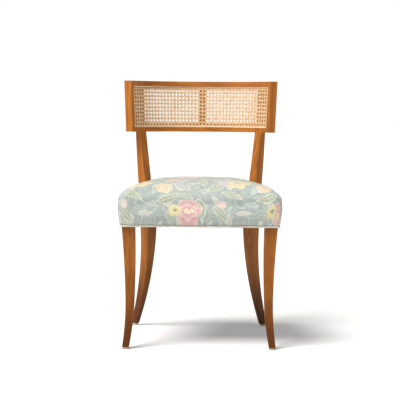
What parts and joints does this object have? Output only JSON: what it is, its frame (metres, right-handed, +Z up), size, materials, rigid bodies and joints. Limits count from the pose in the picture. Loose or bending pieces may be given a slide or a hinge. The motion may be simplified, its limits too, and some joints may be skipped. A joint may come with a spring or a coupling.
{
  "type": "klismos chair",
  "caption": "Armless dining chair with sabre legs, a deeply curved caned back and a domed upholstered seat.",
  "frame": {"origin": "centre of the overall footprint, on the floor", "axes": "+Z up, +Y to the rear, +X to the right of someone who faces the chair from the front"},
  "size_m": [0.5206, 0.6404, 0.838],
  "materials": {
    "show_wood": "satin lacquer over walnut-brown stain",
    "frame_wood": "bare sawn hardwood, inside the seat",
    "dowel_wood": "bare beech",
    "cane": "natural cane webbing",
    "spline": "reed",
    "cover_fabric": "printed linen",
    "welt_fabric": "corded piping",
    "padding": "felted hair and cotton",
    "jute": "woven jute",
    "dust_cloth": "thin black cambric",
    "steel": "plain steel",
    "nylon": "off-white nylon"
  },
  "bodies": {
    "root": {"back_bottom_rail": "show_wood", "back_top_rail": "show_wood", "back_stile_right": "show_wood", "back_stile_left": "show_wood", "back_centre_muntin": "show_wood", "back_dowels": "dowel_wood", "cane_panel_front": "cane", "cane_panel_rear": "cane", "cane_spline_front": "spline", "cane_spline_rear": "spline", "post_screws": "steel", "rear_post_right": "show_wood", "rear_post_left": "show_wood", "front_leg_right": "show_wood", "front_leg_left": "show_wood", "side_seat_rail_right": "frame_wood", "side_seat_rail_left": "frame_wood", "front_seat_rail": "frame_wood", "rear_seat_rail": "frame_wood", "rail_dowels": "dowel_wood", "corner_block_front_right": "frame_wood", "corner_block_front_left": "frame_wood", "corner_block_rear_right": "frame_wood", "corner_block_rear_left": "frame_wood", "corner_block_screws": "steel", "webbing_front_to_back": "jute", "webbing_side_to_side": "jute", "seat_springs": "steel", "spring_hessian": "jute", "seat_padding": "padding", "seat_cover": "cover_fabric", "seat_welt": "welt_fabric", "dust_cover": "dust_cloth", "dust_cover_tacks": "steel", "glide_front_right": "nylon", "glide_front_left": "nylon", "glide_rear_right": "nylon", "glide_rear_left": "nylon", "glide_nails": "steel"}
  },
  "joints": []
}
